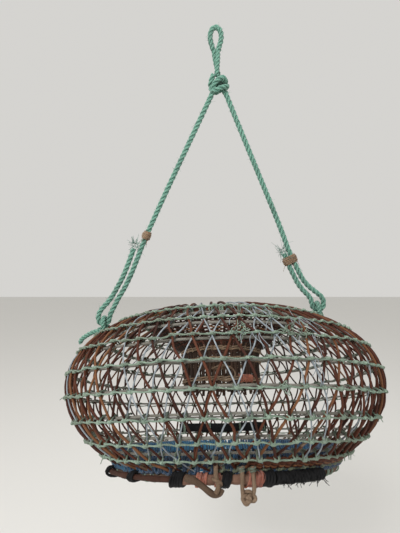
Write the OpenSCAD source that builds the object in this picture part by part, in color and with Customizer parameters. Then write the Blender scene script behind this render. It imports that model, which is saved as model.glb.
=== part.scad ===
// Hand-woven withy pot for crabs and fish: an oblate basket with a funnel mouth in its crown,
// a lashed hatch in its base and a knotted rope bridle. Millimetres, +Z up, hanging free.
// The origin is the top of the hole in the rope eye, where a hook carries the whole pot.

/* [Pot] */
// Largest radius of the woven body
pot_r = 275; // [260:1:290]
// Height of the crown's curve above the widest level
crown_rise = 146; // [140:1:150]
// Depth of the bowl's curve below the widest level
bowl_drop = 161; // [158:1:166]
// Drop from the hanging eye to the middle of the pot
hang_drop = 628; // [620:1:660]
// How far the middle of the pot hangs behind the bridle
pot_back = 11; // [0:1:20]
// How far the middle of the pot hangs to the right of the bridle
pot_side = 14; // [0:1:16]
// Backward lean of the pot's axis
pot_tilt = 24.5; // [20:0.5:28]
// Sideways lean of the pot's axis
pot_roll = -1.2; // [-2:0.1:2]

/* [Weave] */
// Number of withies in each of the two slanting sets
withy_count = 62; // [48:2:62]
// Radius of a withy
withy_r = 1.6; // [1.2:0.1:1.7]
// Turn of the whole weave about the pot's axis, in degrees
weave_turn = 1.1; // [0:0.1:5.8]
// Radius of the cane hoops
hoop_r = 2.4; // [1.8:0.1:2.6]
// Radius of the binding twine
twine_r = 1.3; // [1:0.1:1.5]

/* [Funnel] */
// Number of split stakes in the funnel
stake_count = 30; // [20:2:34]
// Radius of a funnel stake
stake_r = 2.6; // [2:0.1:3]
// Radius of the funnel's throat to the middle of its stakes
throat_r = 69; // [60:1:76]

/* [Hatch] */
// Radius of the hatch hoop's own section
hatch_hoop_r = 7; // [5:0.5:7]
// Number of net lines across the hatch in each direction
net_lines = 9; // [5:2:11]

/* [Bridle] */
// Radius of the rope
rope_r = 4.7; // [4:0.1:5]
// Radius of the hitch rings on the shoulders
hitch_ring_r = 11.4; // [11:0.1:12]

/* [Hidden] */

withy_color = "#5f3527";
cane_color = "#b3ada0";
twine_color = "#a3bfa6";
rope_color = "#5a9c80";
tan_color = "#a88a62";
blue_color = "#1f5876";
black_color = "#1d1d1f";
wood_color = "#83694f";

// Latitudes of the binding rows on the pot's curve, from the mouth down
row_angle = [58, 45.5, 32.6, 20, 6, -7, -19.8, -30.8, -40, -45.6];
set_gap = 0.4;
end_gap = 0.7;
inner_set = 2 * withy_r + set_gap;
hoop_inset = inner_set + withy_r + hoop_r + 0.3;
twine_outset = withy_r + twine_r + 0.2;

rim_r = 5;
rim_inset = inner_set + withy_r + rim_r + 0.3;
funnel_top_r = 133;
funnel_top_z = 111;
throat_top_z = 65;
throat_end_z = -10;
funnel_row_z = [61, 43, 10];
funnel_row_r = 1.8;
funnel_row_gap = 0.2;

strap_in = 224.6;
strap_t = 3;
strap_h = 20;
strap_low_z = -82;
strap_start = 62;
strap_sweep = 52;

sill_z = -106;
sill_r = 181;
sill_hoop_r = 4.5;
sill_hoop_in = 1.5;
lacing_h = 20;
lacing_in = 176;
lacing_out = 186;

hatch_z = -127;
hatch_r = 180;
bar_ring_r = 195;
// Section radius, start angle and sweep of each bar on the hatch
bar_left = [4.2, 199, 47];
bar_middle = [6, 247, 33];
bar_right = [7.5, 286, 24.5];
net_r = 2;
net_gap = 0.2;
// Outer radii of the lashings on the bars and at the hinge, and where they lie
bar_lash_in = 6.9;
bar_lash_r = 7.9;
bar_lash_angle = [226, 249, 268, 283];
hinge_lash_r = 8.5;
hinge_lash_angle = [73.3, 84.5, 95.5, 106.7];
branch_r = 4.4;
branch_tip_r = 3;
loop_r = 2.6;
loop_half = 6.9;
loop_len = 38;
loop_y = -205;
loop_x = 18;
loop_top_z = -113;

// Middle of the hitch ring on each shoulder, as [x, z]: the pot rocks about the line between
hitch_left = [-198, -508.5];
hitch_right = [183, -481.5];
hitch_tube_r = 4.4;

stem_r = 5.8;
knot_x = 6;
knot_z = -92;
knot_core = 6;
knot_rise = 5;
knot_fall = 4;
knot_r = 7.5;
whip_h = 16;
whip_wall = 2.1;
whip_gap = 0.8;
// Middle of each whipping, as [x, z], its lean and half the space between the strands it binds
whip_left = [-121.5, -350.6];
whip_left_lean = 23.5;
whip_right = [132.2, -393.6];
whip_right_lean = -24.3;
whip_right_half = 5.4;

// A point of the pot's curve at latitude a, off along the outward normal, as [radius, height]
function normal(a) =
    let (n = [cos(a) / pot_r, sin(a) / (a > 0 ? crown_rise : bowl_drop)]) n / norm(n);
function curve(a, off) =
    [pot_r * cos(a), (a > 0 ? crown_rise : bowl_drop) * sin(a)] + off * normal(a);

// Knot k of row i in space; every second row is turned by half a pitch
function knot_point(i, k, off) =
    let (c = curve(row_angle[i], off), t = weave_turn + 360 * (k + 0.5 * (i % 2)) / withy_count)
    [c[0] * cos(t), c[0] * sin(t), c[1]];

// Sets a shape from the pot's own axes into its hanging place
module pot_place() {
    translate([pot_side, pot_back, -hang_drop])
        rotate([-pot_tilt, pot_roll, 0])
            children();
}

// A straight round rod from p to q, shortened by trim at each end
module rod(p, q, r, trim = 0) {
    d = q - p;
    len = norm(d);
    translate(p + d / len * trim)
        rotate([0, acos(d[2] / len), atan2(d[1], d[0])])
            cylinder(h = len - 2 * trim, r = r, $fn = 20);
}

// A round bar bent through the points, with a ball at each inner point
module bent_bar(points, r) {
    union() {
        for (i = [0 : len(points) - 2])
            rod(points[i], points[i + 1], r);
        for (i = [1 : len(points) - 2])
            translate(points[i])
                sphere(r = r, $fn = 20);
    }
}

// A twig that tapers through the points
module twig(points, r, tip_r) {
    last = len(points) - 1;
    for (i = [0 : last - 1])
        hull() {
            translate(points[i])
                sphere(r = r + (tip_r - r) * i / last, $fn = 16);
            translate(points[i + 1])
                sphere(r = r + (tip_r - r) * (i + 1) / last, $fn = 16);
        }
}

// A closed ring of round section about the pot's axis
module ring(radius, z, r) {
    translate([0, 0, z])
        rotate_extrude($fn = 96)
            translate([radius, 0])
                circle(r = r, $fn = 20);
}

// Part of a ring, from angle a through sweep
module arc(radius, z, r, a, sweep) {
    translate([0, 0, z])
        rotate([0, 0, a])
            rotate_extrude(angle = sweep, $fn = 96)
                translate([radius, 0])
                    circle(r = r, $fn = 20);
}

// A collar round a ring of radius about the pot's axis, centred on angle a
module collar(radius, z, inner, outer, a, sweep) {
    translate([0, 0, z])
        rotate([0, 0, a - sweep / 2])
            rotate_extrude(angle = sweep, $fn = 96)
                translate([radius, 0])
                    difference() {
                        circle(r = outer, $fn = 24);
                        circle(r = inner, $fn = 24);
                    }
}

// A rope swept through points [x, z] of the bridle's upright plane
module rope(points, r) {
    sides = 10;
    last = len(points) - 1;
    rings = [for (i = [0 : last])
        let (
            t = points[min(i + 1, last)] - points[max(i - 1, 0)],
            u = t / norm(t),
            n = [-u[1], u[0]])
        for (s = [0 : sides - 1])
            let (c = r * cos(360 * s / sides), b = r * sin(360 * s / sides))
            [points[i][0] + c * n[0], b, points[i][1] + c * n[1]]];
    side_faces = [for (i = [0 : last - 1], s = [0 : sides - 1])
        let (e = (s + 1) % sides)
        [i * sides + s, i * sides + e, (i + 1) * sides + e, (i + 1) * sides + s]];
    start_face = [for (s = [sides - 1 : -1 : 0]) s];
    end_face = [for (s = [0 : sides - 1]) last * sides + s];
    polyhedron(points = rings, faces = concat([start_face], side_faces, [end_face]));
}

// Routes of the bridle's rope, as [x, z] from the hanging eye
eye_route = [[-4.8, -33], [-6, -27], [-8, -21], [-9.3, -14], [-9.4, -8], [-7.6, -1],
    [-4.2, 3.3], [0, 4.8], [4.2, 3.3], [7.6, -1], [9.4, -8], [9.3, -14], [8, -21],
    [6, -27], [4.8, -33]];
leg_left_route = [[-5, -104], [-26, -148], [-50, -198], [-74, -248], [-98, -299],
    [-120, -347], [-130, -371], [-138, -391], [-146, -411], [-154.5, -430], [-163.5, -447],
    [-172.5, -462], [-180.5, -477.5], [-186.5, -489], [-189, -497.5], [-191, -504],
    [-198, -509], [-206, -506], [-208.8, -498.5], [-207.5, -490], [-203.5, -482.5],
    [-197, -475], [-189.5, -466.5], [-181.5, -455], [-173.5, -441], [-165, -425.5],
    [-157, -407], [-150, -389], [-144.5, -374]];
leg_right_route = [[17, -104], [36, -150], [58, -202], [80, -254], [102, -306],
    [119, -348], [128.5, -373], [136.5, -391], [146, -410], [155, -427], [166, -440],
    [177, -449], [187, -457], [192, -463.5], [193.2, -471.5], [192, -478], [188, -481.5],
    [183, -482], [178, -481], [174, -477], [172.2, -470.5], [170, -463], [165, -456],
    [156, -447], [147, -435], [138.8, -420], [129.8, -401.5], [121.8, -383]];

module rope_eye() {
    color(rope_color)
        rope(eye_route, rope_r);
}

module rope_stem() {
    color(rope_color)
        rod([0, 0, -33.2], [4, 0, -78.5], stem_r);
}

module crown_knot() {
    color(rope_color)
        translate([knot_x, 0, knot_z])
            rotate_extrude($fn = 48)
                intersection() {
                    hull() {
                        translate([knot_core, knot_rise])
                            circle(r = knot_r, $fn = 32);
                        translate([knot_core, -knot_fall])
                            circle(r = knot_r, $fn = 32);
                    }
                    translate([0, -knot_fall - knot_r])
                        square([knot_core + knot_r, knot_rise + knot_fall + 2 * knot_r]);
                }
}

module rope_leg_left() {
    color(rope_color)
        rope(leg_left_route, rope_r);
}

module rope_leg_right() {
    color(rope_color)
        rope(leg_right_route, rope_r);
}

// The rounded outline of one or two strands side by side
module strand_outline(half, r) {
    hull()
        for (side = [-1, 1])
            translate([side * half, 0])
                circle(r = r, $fn = 32);
}

// A sleeve of tan twine turns at p, in line with the leg, over strands half a space apart
module whipping(p, lean, half) {
    color(tan_color)
        translate([p[0], 0, p[1]])
            rotate([0, lean, 0])
                translate([0, 0, -whip_h / 2])
                    linear_extrude(whip_h)
                        difference() {
                            strand_outline(half, rope_r + whip_gap + whip_wall);
                            strand_outline(half, rope_r + whip_gap);
                        }
}

module whipping_left() {
    whipping(whip_left, whip_left_lean, 0);
}

module whipping_right() {
    whipping(whip_right, whip_right_lean, whip_right_half);
}

// A rope ring on each shoulder, round the line that the pot rocks about
module shoulder_hitches() {
    d = hitch_right - hitch_left;
    color(rope_color)
        for (p = [hitch_left, hitch_right])
            translate([p[0], 0, p[1]])
                rotate([0, 90 - atan2(d[1], d[0]), 0])
                    rotate_extrude($fn = 48)
                        translate([hitch_ring_r, 0])
                            circle(r = hitch_tube_r, $fn = 20);
}

// The thick bundle of rods that edges the mouth
module mouth_rim() {
    c = curve(row_angle[0], -rim_inset);
    color(withy_color)
        pot_place()
            ring(c[0], c[1], rim_r);
}

// Both slanting sets of withies between binding rows band - 1 and band
module withies(band) {
    shift = (band - 1) % 2;
    color(withy_color)
        pot_place()
            for (k = [0 : withy_count - 1]) {
                rod(knot_point(band - 1, k, 0), knot_point(band, k + shift, 0),
                    withy_r, end_gap);
                rod(knot_point(band - 1, k, -inner_set),
                    knot_point(band, k + shift - 1, -inner_set), withy_r, end_gap);
            }
}

// The cane hoop inside binding row i
module hoop(i) {
    c = curve(row_angle[i], -hoop_inset);
    color(cane_color)
        pot_place()
            ring(c[0], c[1], hoop_r);
}

// The twine that binds row i from outside
module twine_row(i) {
    c = curve(row_angle[i], twine_outset);
    color(twine_color)
        pot_place()
            ring(c[0], c[1], twine_r);
}

// Split stakes that flare from the throat up to the rim
module funnel_stakes() {
    color("#4a3526")
        pot_place()
            for (k = [0 : stake_count - 1])
                rotate([0, 0, 360 * k / stake_count])
                    bent_bar([[funnel_top_r, 0, funnel_top_z], [throat_r, 0, throat_top_z],
                        [throat_r, 0, throat_end_z]], stake_r);
}

// A row of pale twining round the throat
module funnel_row(i) {
    color(tan_color)
        pot_place()
            ring(throat_r + stake_r + funnel_row_gap + funnel_row_r, funnel_row_z[i - 1],
                funnel_row_r);
}

// A strip of inner tube tied inside the far wall, behind which bait is tucked
module bait_strap() {
    color(black_color)
        pot_place()
            rotate([0, 0, strap_start])
                rotate_extrude(angle = strap_sweep, $fn = 96)
                    translate([strap_in, strap_low_z])
                        square([strap_t, strap_h]);
}

// The hoop that stiffens the edge of the base
module sill_hoop() {
    color(wood_color)
        pot_place()
            ring(sill_r - sill_hoop_in, sill_z, sill_hoop_r);
}

// Close blue rope turns round the sill, open on the inside where the hoop lies
module sill_lacing() {
    color(blue_color)
        pot_place()
            translate([0, 0, sill_z])
                rotate_extrude($fn = 96)
                    difference() {
                        translate([lacing_in, -lacing_h / 2])
                            square([lacing_out - lacing_in, lacing_h]);
                        translate([sill_r - sill_hoop_in, 0])
                            circle(r = sill_hoop_r + 0.3, $fn = 32);
                        translate([lacing_in - 1, -sill_hoop_r - 0.3])
                            square([sill_r + 1 - sill_hoop_in - lacing_in, 2 * sill_hoop_r + 0.6]);
                    }
}

module hatch_hoop() {
    color(wood_color)
        pot_place()
            ring(hatch_r, hatch_z, hatch_hoop_r);
}

// Two crossed layers of net lines inside the hatch hoop
module hatch_net() {
    span = hatch_r - hatch_hoop_r - 0.6;
    step = 2 * span / (net_lines + 1);
    color(blue_color)
        pot_place()
            for (i = [1 : net_lines]) {
                c = -span + i * step;
                h = sqrt(span * span - (abs(c) + net_r) * (abs(c) + net_r));
                rod([c, -h, hatch_z + net_r + net_gap], [c, h, hatch_z + net_r + net_gap], net_r);
                rod([-h, c, hatch_z - net_r - net_gap], [h, c, hatch_z - net_r - net_gap], net_r);
            }
}

// A stiffening bar bound along the outside of the hatch hoop
module bar(size) {
    arc(bar_ring_r, hatch_z, size[0], size[1], size[2]);
}

module hatch_bar_left() {
    color(wood_color)
        pot_place()
            bar(bar_left);
}

module hatch_bar_middle() {
    color(wood_color)
        pot_place()
            bar(bar_middle);
}

module hatch_bar_right() {
    color(black_color)
        pot_place()
            bar(bar_right);
}

// Black rubber and twine lashings on the bars
module hatch_lashings() {
    color(black_color)
        pot_place()
            for (a = bar_lash_angle)
                collar(bar_ring_r, hatch_z, bar_lash_in, bar_lash_r, a, 3);
}

// Twine turns on the back of the hatch hoop, where it hangs from the sill
module hinge_lashings() {
    color(blue_color)
        pot_place()
            for (a = hinge_lash_angle)
                collar(hatch_r, hatch_z, hatch_hoop_r + 0.2, hinge_lash_r, a, 5);
}

// A bent twig with a curled tip, bound in front of the middle bar
module hooked_branch() {
    z = hatch_z;
    color(wood_color)
        pot_place()
            twig([[-60, -197.6, z + 4], [-50, -200.9, z + 1], [-40, -203.6, z - 4.5],
                [-31, -204.7, z - 11], [-24, -204.6, z - 15], [-17.5, -204.8, z - 14],
                [-14.5, -205.5, z - 9]], branch_r, branch_tip_r);
}

// A withy bent into a long loop, hung from the last binding row
module catch_loop() {
    bottom = loop_top_z - loop_len;
    color("#96744f")
        pot_place()
            translate([loop_x, loop_y, 0])
                union() {
                    for (side = [-1, 1])
                        rod([side * loop_half, 0, loop_top_z - loop_half],
                            [side * loop_half, 0, bottom + loop_half], loop_r);
                    translate([0, 0, loop_top_z - loop_half])
                        rotate([90, 0, 0])
                            rotate_extrude(angle = 180, $fn = 48)
                                translate([loop_half, 0])
                                    circle(r = loop_r, $fn = 20);
                    translate([0, 0, bottom + loop_half])
                        rotate([90, 180, 0])
                            rotate_extrude(angle = 180, $fn = 48)
                                translate([loop_half, 0])
                                    circle(r = loop_r, $fn = 20);
                }
}

rope_eye();
rope_stem();
crown_knot();
rope_leg_left();
rope_leg_right();
whipping_left();
whipping_right();
shoulder_hitches();
mouth_rim();
for (b = [1 : 9]) withies(b);
for (i = [1 : 8]) hoop(i);
for (i = [1 : 9]) twine_row(i);
funnel_stakes();
for (i = [1 : 3]) funnel_row(i);
bait_strap();
sill_hoop();
sill_lacing();
hatch_hoop();
hatch_net();
hatch_bar_left();
hatch_bar_middle();
hatch_bar_right();
hatch_lashings();
hinge_lashings();
hooked_branch();
catch_loop();
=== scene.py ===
"""Looks for the hand-woven withy pot: weave, binding twine, funnel, rope bridle and lashed base hatch."""
import math

import bpy
import numpy as np
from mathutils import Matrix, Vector


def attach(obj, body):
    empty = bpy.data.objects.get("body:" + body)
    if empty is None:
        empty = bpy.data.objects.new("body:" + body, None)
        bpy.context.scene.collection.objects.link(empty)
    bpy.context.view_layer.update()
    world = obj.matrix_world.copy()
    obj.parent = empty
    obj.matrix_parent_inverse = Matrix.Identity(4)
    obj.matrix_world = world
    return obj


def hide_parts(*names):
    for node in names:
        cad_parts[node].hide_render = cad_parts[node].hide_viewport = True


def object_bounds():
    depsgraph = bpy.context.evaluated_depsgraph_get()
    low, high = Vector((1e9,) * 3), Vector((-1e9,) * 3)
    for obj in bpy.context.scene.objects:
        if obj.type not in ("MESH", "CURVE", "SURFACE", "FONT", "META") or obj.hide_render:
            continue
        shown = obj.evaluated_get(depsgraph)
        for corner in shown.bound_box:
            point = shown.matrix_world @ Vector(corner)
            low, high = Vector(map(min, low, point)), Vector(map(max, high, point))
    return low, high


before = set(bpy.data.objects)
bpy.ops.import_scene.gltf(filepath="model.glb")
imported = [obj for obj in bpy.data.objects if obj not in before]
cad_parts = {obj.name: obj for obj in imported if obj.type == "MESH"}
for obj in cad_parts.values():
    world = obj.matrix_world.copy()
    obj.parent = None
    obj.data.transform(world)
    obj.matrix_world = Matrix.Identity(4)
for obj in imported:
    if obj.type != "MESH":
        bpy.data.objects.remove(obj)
cad_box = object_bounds()
rng = np.random.default_rng(41)
MM = 0.001
UP = np.array([0, 0, 1.0])
BACK = np.array([0, 1.0, 0])

# Driving sizes, in millimetres, as the solids have them
POT_R = 275.0
CROWN_RISE = 146.0
BOWL_DROP = 161.0
POT_PLACE = (14.0, 11.0, -628.0)
POT_TILT = 24.5
POT_ROLL = -1.2
ROW_ANGLE = [58, 45.5, 32.6, 20, 6, -7, -19.8, -30.8, -40, -45.6]
WITHY_COUNT = 62
WITHY_R = 1.6
WEAVE_TURN = 1.1
INNER_SET = 3.6
HOOP_R = 2.4
TWINE_R = 1.3
STAKE_COUNT = 30
THROAT_R = 69.0
ROPE_R = 4.7


def full_circle(steps):
    """Angles once round, in equal steps."""
    return np.linspace(0, 2 * np.pi, steps, endpoint=False)


def oval(centre, across, upward, width, height, angles):
    """Points round a centre, width along one direction and height along the other."""
    return (centre + width * np.outer(np.cos(angles), across)
            + height * np.outer(np.sin(angles), upward))


def ring_frame(turn):
    """Outward and sideways directions at a turn, in degrees, about the pot's axis."""
    t = math.radians(turn)
    return np.array([math.cos(t), math.sin(t), 0.0]), np.array([-math.sin(t), math.cos(t), 0.0])


def linked(name, data):
    """A new object in the scene."""
    made = bpy.data.objects.new(name, data)
    bpy.context.scene.collection.objects.link(made)
    return made


# ---- shapes of the pot

def curve(angle, off=0.0):
    """A point of the pot's curve at that latitude, moved along its outward normal: radius and height."""
    a = np.radians(angle)
    b = np.where(a > 0, CROWN_RISE, BOWL_DROP)
    n = np.stack([np.cos(a) / POT_R, np.sin(a) / b], -1)
    n = n / np.linalg.norm(n, axis=-1, keepdims=True)
    return np.stack([POT_R * np.cos(a), b * np.sin(a)], -1) + np.asarray(off)[..., None] * n


def on_pot(angle, turn, off=0.0):
    """Points on the pot's wall in its own axes, from latitude and turn in degrees."""
    c = curve(np.asarray(angle, float), off)
    t = np.radians(np.asarray(turn, float))
    return np.stack([c[..., 0] * np.cos(t), c[..., 0] * np.sin(t), c[..., 1]], -1)


def warp(p):
    """The hand-made unevenness of the wall: a slow wave, and shoulders that the bridle draws up."""
    p = np.asarray(p, float)
    r = np.hypot(p[..., 0], p[..., 1])
    t = np.arctan2(p[..., 1], p[..., 0])
    share = np.clip(r / POT_R, 0, 1)
    upper = np.clip((p[..., 2] + 60) / 180, 0, 1)
    radial = share * (1.6 * np.sin(3 * t + 0.6) + 1.1 * np.sin(5 * t + 2.1 + p[..., 2] / 60))
    lift = share * (upper * 8.0 * np.cos(2 * t) + 1.2 * np.sin(4 * t + 1.3))
    out = p.copy()
    out[..., 0] += radial * np.cos(t)
    out[..., 1] += radial * np.sin(t)
    out[..., 2] += lift
    return out


def place(p):
    """From the pot's own axes, in millimetres, to the frame, in metres."""
    a, b = math.radians(-POT_TILT), math.radians(POT_ROLL)
    tilt = np.array([[1, 0, 0], [0, math.cos(a), -math.sin(a)], [0, math.sin(a), math.cos(a)]])
    roll = np.array([[math.cos(b), 0, math.sin(b)], [0, 1, 0], [-math.sin(b), 0, math.cos(b)]])
    return (np.asarray(p, float) @ (roll @ tilt).T + np.array(POT_PLACE)) * MM


def smooth(points, steps, closed=False):
    """A Catmull-Rom curve through the points."""
    p = np.asarray(points, float)
    if closed:
        p = np.concatenate([p[-1:], p, p[:2]])
    else:
        p = np.concatenate([2 * p[:1] - p[1:2], p, 2 * p[-1:] - p[-2:-1]])
    t = np.linspace(0, 1, steps, endpoint=False)[:, None]
    out = []
    for i in range(1, len(p) - 2):
        a, b, c, d = p[i - 1], p[i], p[i + 1], p[i + 2]
        out.append(0.5 * (2 * b + (c - a) * t + (2 * a - 5 * b + 4 * c - d) * t ** 2
                          + (3 * b - a - 3 * c + d) * t ** 3))
    out = np.concatenate(out)
    return out if closed else np.concatenate([out, p[-2:-1]])


# ---- mesh making

LUMP_RINGS = (5, 8)     # rings and points to a ring
LUMP_ROUGH = 0.12


class Tubes:
    """Gathers round bars into one mesh, with how far along, how far round and which bar as attributes."""

    def __init__(self):
        self.verts, self.faces, self.along, self.around, self.tone = [], [], [], [], []
        self.count = 0

    def add(self, path, radius, sides=8, closed=False, tone=None, flat=1.0, up=None):
        """A bar along the path. up fixes the way its first side faces, and flat thins it the other way."""
        path = np.asarray(path, float)
        n = len(path)
        radius = np.broadcast_to(np.asarray(radius, float), (n,))
        if closed:
            ahead, behind = np.roll(path, -1, 0), np.roll(path, 1, 0)
        else:
            ahead = np.concatenate([path[1:], path[-1:]])
            behind = np.concatenate([path[:1], path[:-1]])
        t = ahead - behind
        t /= np.linalg.norm(t, axis=1, keepdims=True) + 1e-12
        if up is not None:
            u = np.broadcast_to(np.asarray(up, float), t.shape)
            normal = u - (u * t).sum(1, keepdims=True) * t
        else:
            normal = np.zeros_like(t)
            first = np.cross(t[0], [0.3, 0.2, 0.93])
            if np.linalg.norm(first) < 1e-3:
                first = np.cross(t[0], [1, 0, 0])
            normal[0] = first
            for i in range(1, n):
                v = normal[i - 1]
                normal[i] = v - (v @ t[i]) * t[i]
        normal /= np.linalg.norm(normal, axis=1, keepdims=True) + 1e-12
        side = np.cross(t, normal)
        s = np.arange(sides) / sides * 2 * np.pi
        ring = (np.cos(s)[None, :, None] * normal[:, None, :]
                + flat * np.sin(s)[None, :, None] * side[:, None, :])
        v = path[:, None, :] + radius[:, None, None] * ring
        length = np.concatenate([[0], np.cumsum(np.linalg.norm(np.diff(path, axis=0), axis=1))])
        base = self.count
        i = np.arange(n if closed else n - 1)[:, None]
        j = np.arange(sides)[None, :]
        i2, j2 = (i + 1) % n, (j + 1) % sides
        f = np.stack([base + i * sides + j, base + i * sides + j2,
                      base + i2 * sides + j2, base + i2 * sides + j], -1).reshape(-1, 4)
        self.faces.extend(f.tolist())
        if not closed:
            self.faces.append(list(range(base + sides - 1, base - 1, -1)))
            self.faces.append(list(range(base + (n - 1) * sides, base + n * sides)))
        self.verts.append(v.reshape(-1, 3))
        self.along.append(np.repeat(length, sides))
        self.around.append(np.tile(np.abs(np.arange(sides) / sides - 0.5) * 2, n))
        self.tone.append(np.full(n * sides, rng.random() if tone is None else tone))
        self.count += n * sides

    def lump(self, centre, size, tone):
        """A small uneven ball, as a pulled-tight knot."""
        rows, cols = LUMP_RINGS
        la = np.linspace(-np.pi / 2, np.pi / 2, rows + 2)[1:-1]
        lo = np.arange(cols) / cols * 2 * np.pi
        v = [[0, 0, -1]] + [[math.cos(a) * math.cos(o), math.cos(a) * math.sin(o), math.sin(a)]
                            for a in la for o in lo] + [[0, 0, 1]]
        v = np.array(v) * (1 + LUMP_ROUGH * rng.standard_normal((len(v), 1)))
        v = v * np.asarray(size) + np.asarray(centre)
        b, top = self.count, self.count + len(v) - 1
        for c in range(cols):
            d = (c + 1) % cols
            self.faces.append([b, b + 1 + d, b + 1 + c])
            self.faces.append([top, top - cols + c, top - cols + d])
            for r in range(rows - 1):
                k = b + 1 + r * cols
                self.faces.append([k + c, k + d, k + cols + d, k + cols + c])
        self.verts.append(v)
        self.along.append(v[:, 2])
        self.around.append(np.zeros(len(v)))
        self.tone.append(np.full(len(v), tone))
        self.count += len(v)

    def mesh(self, name, material, body, replaces=(), placed=True):
        """Makes the object. placed is true where the points are in the pot's own axes."""
        v = np.concatenate(self.verts)
        v = place(v) if placed else v * MM
        data = bpy.data.meshes.new(name)
        data.from_pydata(v.tolist(), [], self.faces)
        for key, value in (("along", self.along), ("around", self.around), ("tone", self.tone)):
            data.attributes.new(key, "FLOAT", "POINT").data.foreach_set(
                "value", np.concatenate(value).astype(np.float32))
        data.polygons.foreach_set("use_smooth", [True] * len(data.polygons))
        data.materials.append(material)
        data.update()
        piece = linked(name, data)
        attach(piece, body)
        if replaces:
            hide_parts(*replaces)
        return piece


# ---- materials

SPECULAR = 0.2
SHEEN_ROUGH = 0.6
PEELED = (0.36, 0.23, 0.13)


class Nodes:
    """A short way to write a node material."""

    def __init__(self, name):
        self.material = bpy.data.materials.new(name)
        self.material.use_nodes = True
        self.tree = self.material.node_tree
        self.shader = self.tree.nodes["Principled BSDF"]

    def new(self, kind, **values):
        node = self.tree.nodes.new(kind)
        for key, value in values.items():
            setattr(node, key, value)
        return node

    def link(self, a, b):
        self.tree.links.new(a, b)

    def attribute(self, name):
        return self.new("ShaderNodeAttribute", attribute_name=name).outputs["Fac"]

    def noise(self, vector, scale, detail, rough):
        node = self.new("ShaderNodeTexNoise")
        for key, value in (("Scale", scale), ("Detail", detail), ("Roughness", rough)):
            node.inputs[key].default_value = value
        self.link(vector, node.inputs["Vector"])
        return node.outputs["Fac"]

    def object_noise(self, scale, detail):
        """Noise in the object's space: dirt and fading that pass from bar to bar."""
        return self.noise(self.new("ShaderNodeTexCoord").outputs["Object"], scale, detail, 0.6)

    def tube_noise(self, along_scale, around_scale, detail):
        """Noise that follows a bar: along its length, round it, and from bar to bar."""
        join = self.new("ShaderNodeCombineXYZ")
        for name, scale, axis in (("along", along_scale, "X"), ("around", around_scale, "Y"),
                                  ("tone", 90.0, "Z")):
            self.link(self.times(self.attribute(name), scale), join.inputs[axis])
        return self.noise(join.outputs["Vector"], 1.0, detail, 0.5)

    def math(self, operation, a, b=None):
        node = self.new("ShaderNodeMath", operation=operation)
        for socket, value in zip(node.inputs, (a, b)):
            if value is None:
                continue
            if isinstance(value, (int, float)):
                socket.default_value = value
            else:
                self.link(value, socket)
        return node.outputs[0]

    def add(self, a, b):
        return self.math("ADD", a, b)

    def times(self, a, b):
        return self.math("MULTIPLY", a, b)

    def ramp(self, fac, stops):
        """Colours along a value."""
        node = self.new("ShaderNodeValToRGB")
        elements = node.color_ramp.elements
        while len(elements) < len(stops):
            elements.new(0.5)
        for element, (at, colour) in zip(elements, stops):
            element.position = at
            element.color = (*colour, 1.0)
        self.link(fac, node.inputs["Fac"])
        return node.outputs["Color"]

    def mask(self, fac, low, high, most=1.0):
        """None below the low level, rising to most at the high one."""
        return self.ramp(fac, [(low, (0, 0, 0)), (high, (most, most, most))])

    def mix(self, fac, a, b):
        node = self.new("ShaderNodeMix", data_type="RGBA")
        self.link(fac, node.inputs["Factor"])
        for key, value in (("A", a), ("B", b)):
            socket = [s for s in node.inputs if s.name == key and s.type == "RGBA"][0]
            if isinstance(value, tuple):
                socket.default_value = (*value, 1.0)
            else:
                self.link(value, socket)
        return [s for s in node.outputs if s.type == "RGBA"][0]

    def spread(self, fac, low, high):
        node = self.new("ShaderNodeMapRange")
        node.inputs["To Min"].default_value = low
        node.inputs["To Max"].default_value = high
        self.link(fac, node.inputs["Value"])
        return node.outputs["Result"]

    def finish(self, colour, roughness, bump=None, depth=0.0004, strength=0.8, sheen=0.0):
        self.link(colour, self.shader.inputs["Base Color"])
        self.shader.inputs["Specular IOR Level"].default_value = SPECULAR
        if isinstance(roughness, (int, float)):
            self.shader.inputs["Roughness"].default_value = roughness
        else:
            self.link(roughness, self.shader.inputs["Roughness"])
        if bump is not None:
            node = self.new("ShaderNodeBump")
            node.inputs["Strength"].default_value = strength
            node.inputs["Distance"].default_value = depth
            self.link(bump, node.inputs["Height"])
            self.link(node.outputs["Normal"], self.shader.inputs["Normal"])
        if sheen:
            self.shader.inputs["Sheen Weight"].default_value = sheen
            self.shader.inputs["Sheen Roughness"].default_value = SHEEN_ROUGH
        return self.material


def bark_material(name, darks, lights, pale_share):
    """Bark of a withy: long streaks, each rod its own shade, peeled pale spots."""
    m = Nodes(name)
    streak = m.tube_noise(90.0, 3.0, 4.0)
    dark = m.ramp(m.attribute("tone"), darks)
    light = m.ramp(m.attribute("tone"), lights)
    colour = m.mix(m.mask(streak, 0.35, 0.68), dark, light)
    peel = m.tube_noise(28.0, 1.5, 2.0)
    peeled = m.mask(peel, 1 - pale_share - 0.04, 1 - pale_share)
    colour = m.mix(peeled, colour, PEELED)
    rough = m.spread(streak, 0.42, 0.75)
    return m.finish(colour, rough, streak, 0.0005, 0.7)


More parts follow.
